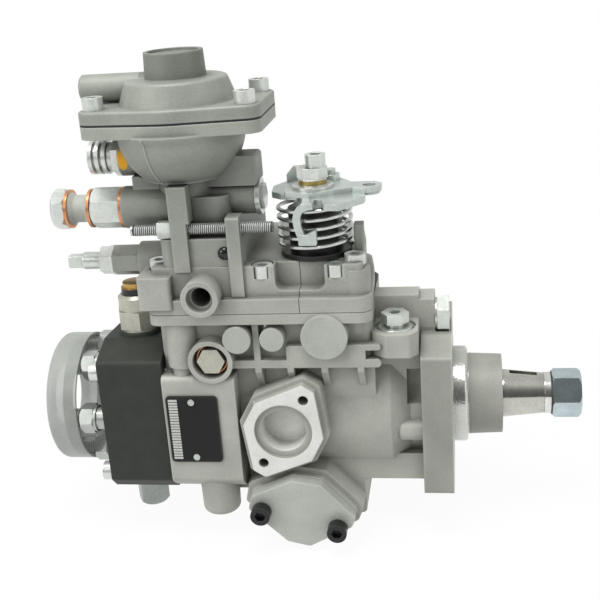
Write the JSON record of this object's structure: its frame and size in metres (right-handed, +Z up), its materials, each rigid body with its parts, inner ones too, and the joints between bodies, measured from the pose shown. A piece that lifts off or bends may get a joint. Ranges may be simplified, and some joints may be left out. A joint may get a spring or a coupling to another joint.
{
  "type": "diesel injection pump",
  "caption": "Rotary distributor injection pump with mounting flange, taper drive shaft, governor cover, boost unit, control lever, distributor head and capped outlets.",
  "frame": {"origin": "centre of the mounting pilot, in the flange's face", "axes": "+X along the drive shaft to its nut, +Z up, -Y the side with the window and the name plate"},
  "size_m": [0.2779, 0.114, 0.2499],
  "materials": {
    "cast_grey": "die cast",
    "cover_grey": "die cast, darker",
    "boost_grey": "die cast",
    "steel": "ground",
    "zinc": "zinc plated",
    "black_steel": "blackened",
    "black_iron": "satin black",
    "plate_black": "satin",
    "bronze": "turned",
    "copper": "soft copper",
    "rubber": "matte",
    "cap_plastic": "translucent",
    "black_plastic": "moulded"
  },
  "bodies": {
    "housing": {"pump_housing": "cast_grey", "governor_cover": "cover_grey", "boost_housing": "boost_grey", "boost_cover": "boost_grey", "timing_cover": "cast_grey", "timing_cover_rear": "cast_grey", "front_bearing_bush": "bronze", "shaft_seal": "rubber", "feed_pump_ring": "steel", "feed_pump_plate": "steel", "governor_shaft": "steel", "governor_spring": "steel", "timing_spring": "steel", "housing_screws": "black_steel", "spring_bridge": "steel", "plunger_springs": "steel", "distributor_head": "black_iron", "distributor_barrel": "steel", "head_plug": "black_steel", "delivery_holders": "zinc", "solenoid_body": "zinc", "solenoid_insulator": "black_plastic", "hex_bolts": "zinc", "name_plate": "plate_black", "side_plug": "zinc", "regulating_valve": "zinc", "cover_screws": "zinc", "adjusting_screws": "zinc", "lock_nuts": "zinc", "overflow_fitting": "zinc", "overflow_sleeve": "cap_plastic", "copper_washers": "copper", "boost_diaphragm": "rubber", "boost_spring": "steel", "boost_union": "zinc", "lever_cup": "black_steel", "lever_spring": "black_steel"},
    "drive": {"drive_shaft": "steel", "nut_and_washer": "zinc", "feed_pump_rotor": "steel", "feed_pump_vanes": "steel", "drive_gear": "steel", "coupling_disc": "steel", "cam_plate": "steel", "plunger": "steel"},
    "governor": {"governor_cage": "steel", "flyweights": "steel"},
    "sleeve": {"governor_sleeve": "steel"},
    "tilt_lever": {"governor_lever": "steel"},
    "metering_sleeve": {"control_sleeve": "steel"},
    "advance_piston": {"timing_piston": "cast_grey"},
    "rollers": {"roller_ring": "steel", "cam_rollers": "steel"},
    "lever": {"lever_shaft": "steel", "control_lever": "zinc", "lever_nuts": "zinc"},
    "boost": {"boost_pin": "steel"},
    "cutoff": {"solenoid_pin": "steel"},
    "valves": {"delivery_valves": "steel"},
    "cap": {"shipping_cap": "cap_plastic"}
  },
  "joints": [
    {"name": "drive_spin", "type": "hinge", "parent": "housing", "child": "drive", "pos_m": [0, 0, 0], "axis": [1, 0, 0], "continuous": true},
    {"name": "governor_spin", "type": "hinge", "parent": "housing", "child": "governor", "pos_m": [0, 0, 0.0455], "axis": [1, 0, 0], "continuous": true},
    {"name": "sleeve_slide", "type": "slide", "parent": "housing", "child": "sleeve", "axis": [-1, 0, 0], "range_m": [0, 0.0012]},
    {"name": "lever_tilt", "type": "hinge", "parent": "housing", "child": "tilt_lever", "pos_m": [-0.108, 0, 0.034], "axis": [0, -1, 0], "range_deg": [0, 6], "deforming": ["governor_spring"]},
    {"name": "control_slide", "type": "slide", "parent": "housing", "child": "metering_sleeve", "axis": [1, 0, 0], "range_m": [0, 0.0026]},
    {"name": "timing_slide", "type": "slide", "parent": "housing", "child": "advance_piston", "axis": [0, 1, 0], "range_m": [-0.003, 0.003], "deforming": ["timing_spring"]},
    {"name": "ring_turn", "type": "hinge", "parent": "housing", "child": "rollers", "pos_m": [0, 0, 0], "axis": [1, 0, 0], "range_deg": [-4.1, 4.1]},
    {"name": "control_turn", "type": "hinge", "parent": "housing", "child": "lever", "pos_m": [-0.0645, -0.02, 0], "axis": [0, 0, 1], "range_deg": [-27, 0], "deforming": ["lever_spring"]},
    {"name": "boost_slide", "type": "slide", "parent": "housing", "child": "boost", "axis": [0, 0, -1], "range_m": [0, 0.006], "deforming": ["boost_spring", "boost_diaphragm"]},
    {"name": "solenoid_slide", "type": "slide", "parent": "housing", "child": "cutoff", "axis": [0, 0, 1], "range_m": [0, 0.0015]},
    {"name": "valves_lift", "type": "slide", "parent": "housing", "child": "valves", "axis": [-1, 0, 0], "range_m": [0, 0.0015]},
    {"name": "cap_pull", "type": "slide", "parent": "housing", "child": "cap", "axis": [-1, 0, 0], "range_m": [0, 0.025]}
  ],
  "couplings": [
    {"joint": "governor_spin", "follows": "drive_spin", "ratio": -1.6},
    {"joint": "ring_turn", "follows": "timing_slide", "rad_per_m": 23.809},
    {"joint": "lever_tilt", "follows": "sleeve_slide", "rad_per_m": 86.957},
    {"joint": "control_slide", "follows": "sleeve_slide", "ratio": 2.08}
  ]
}
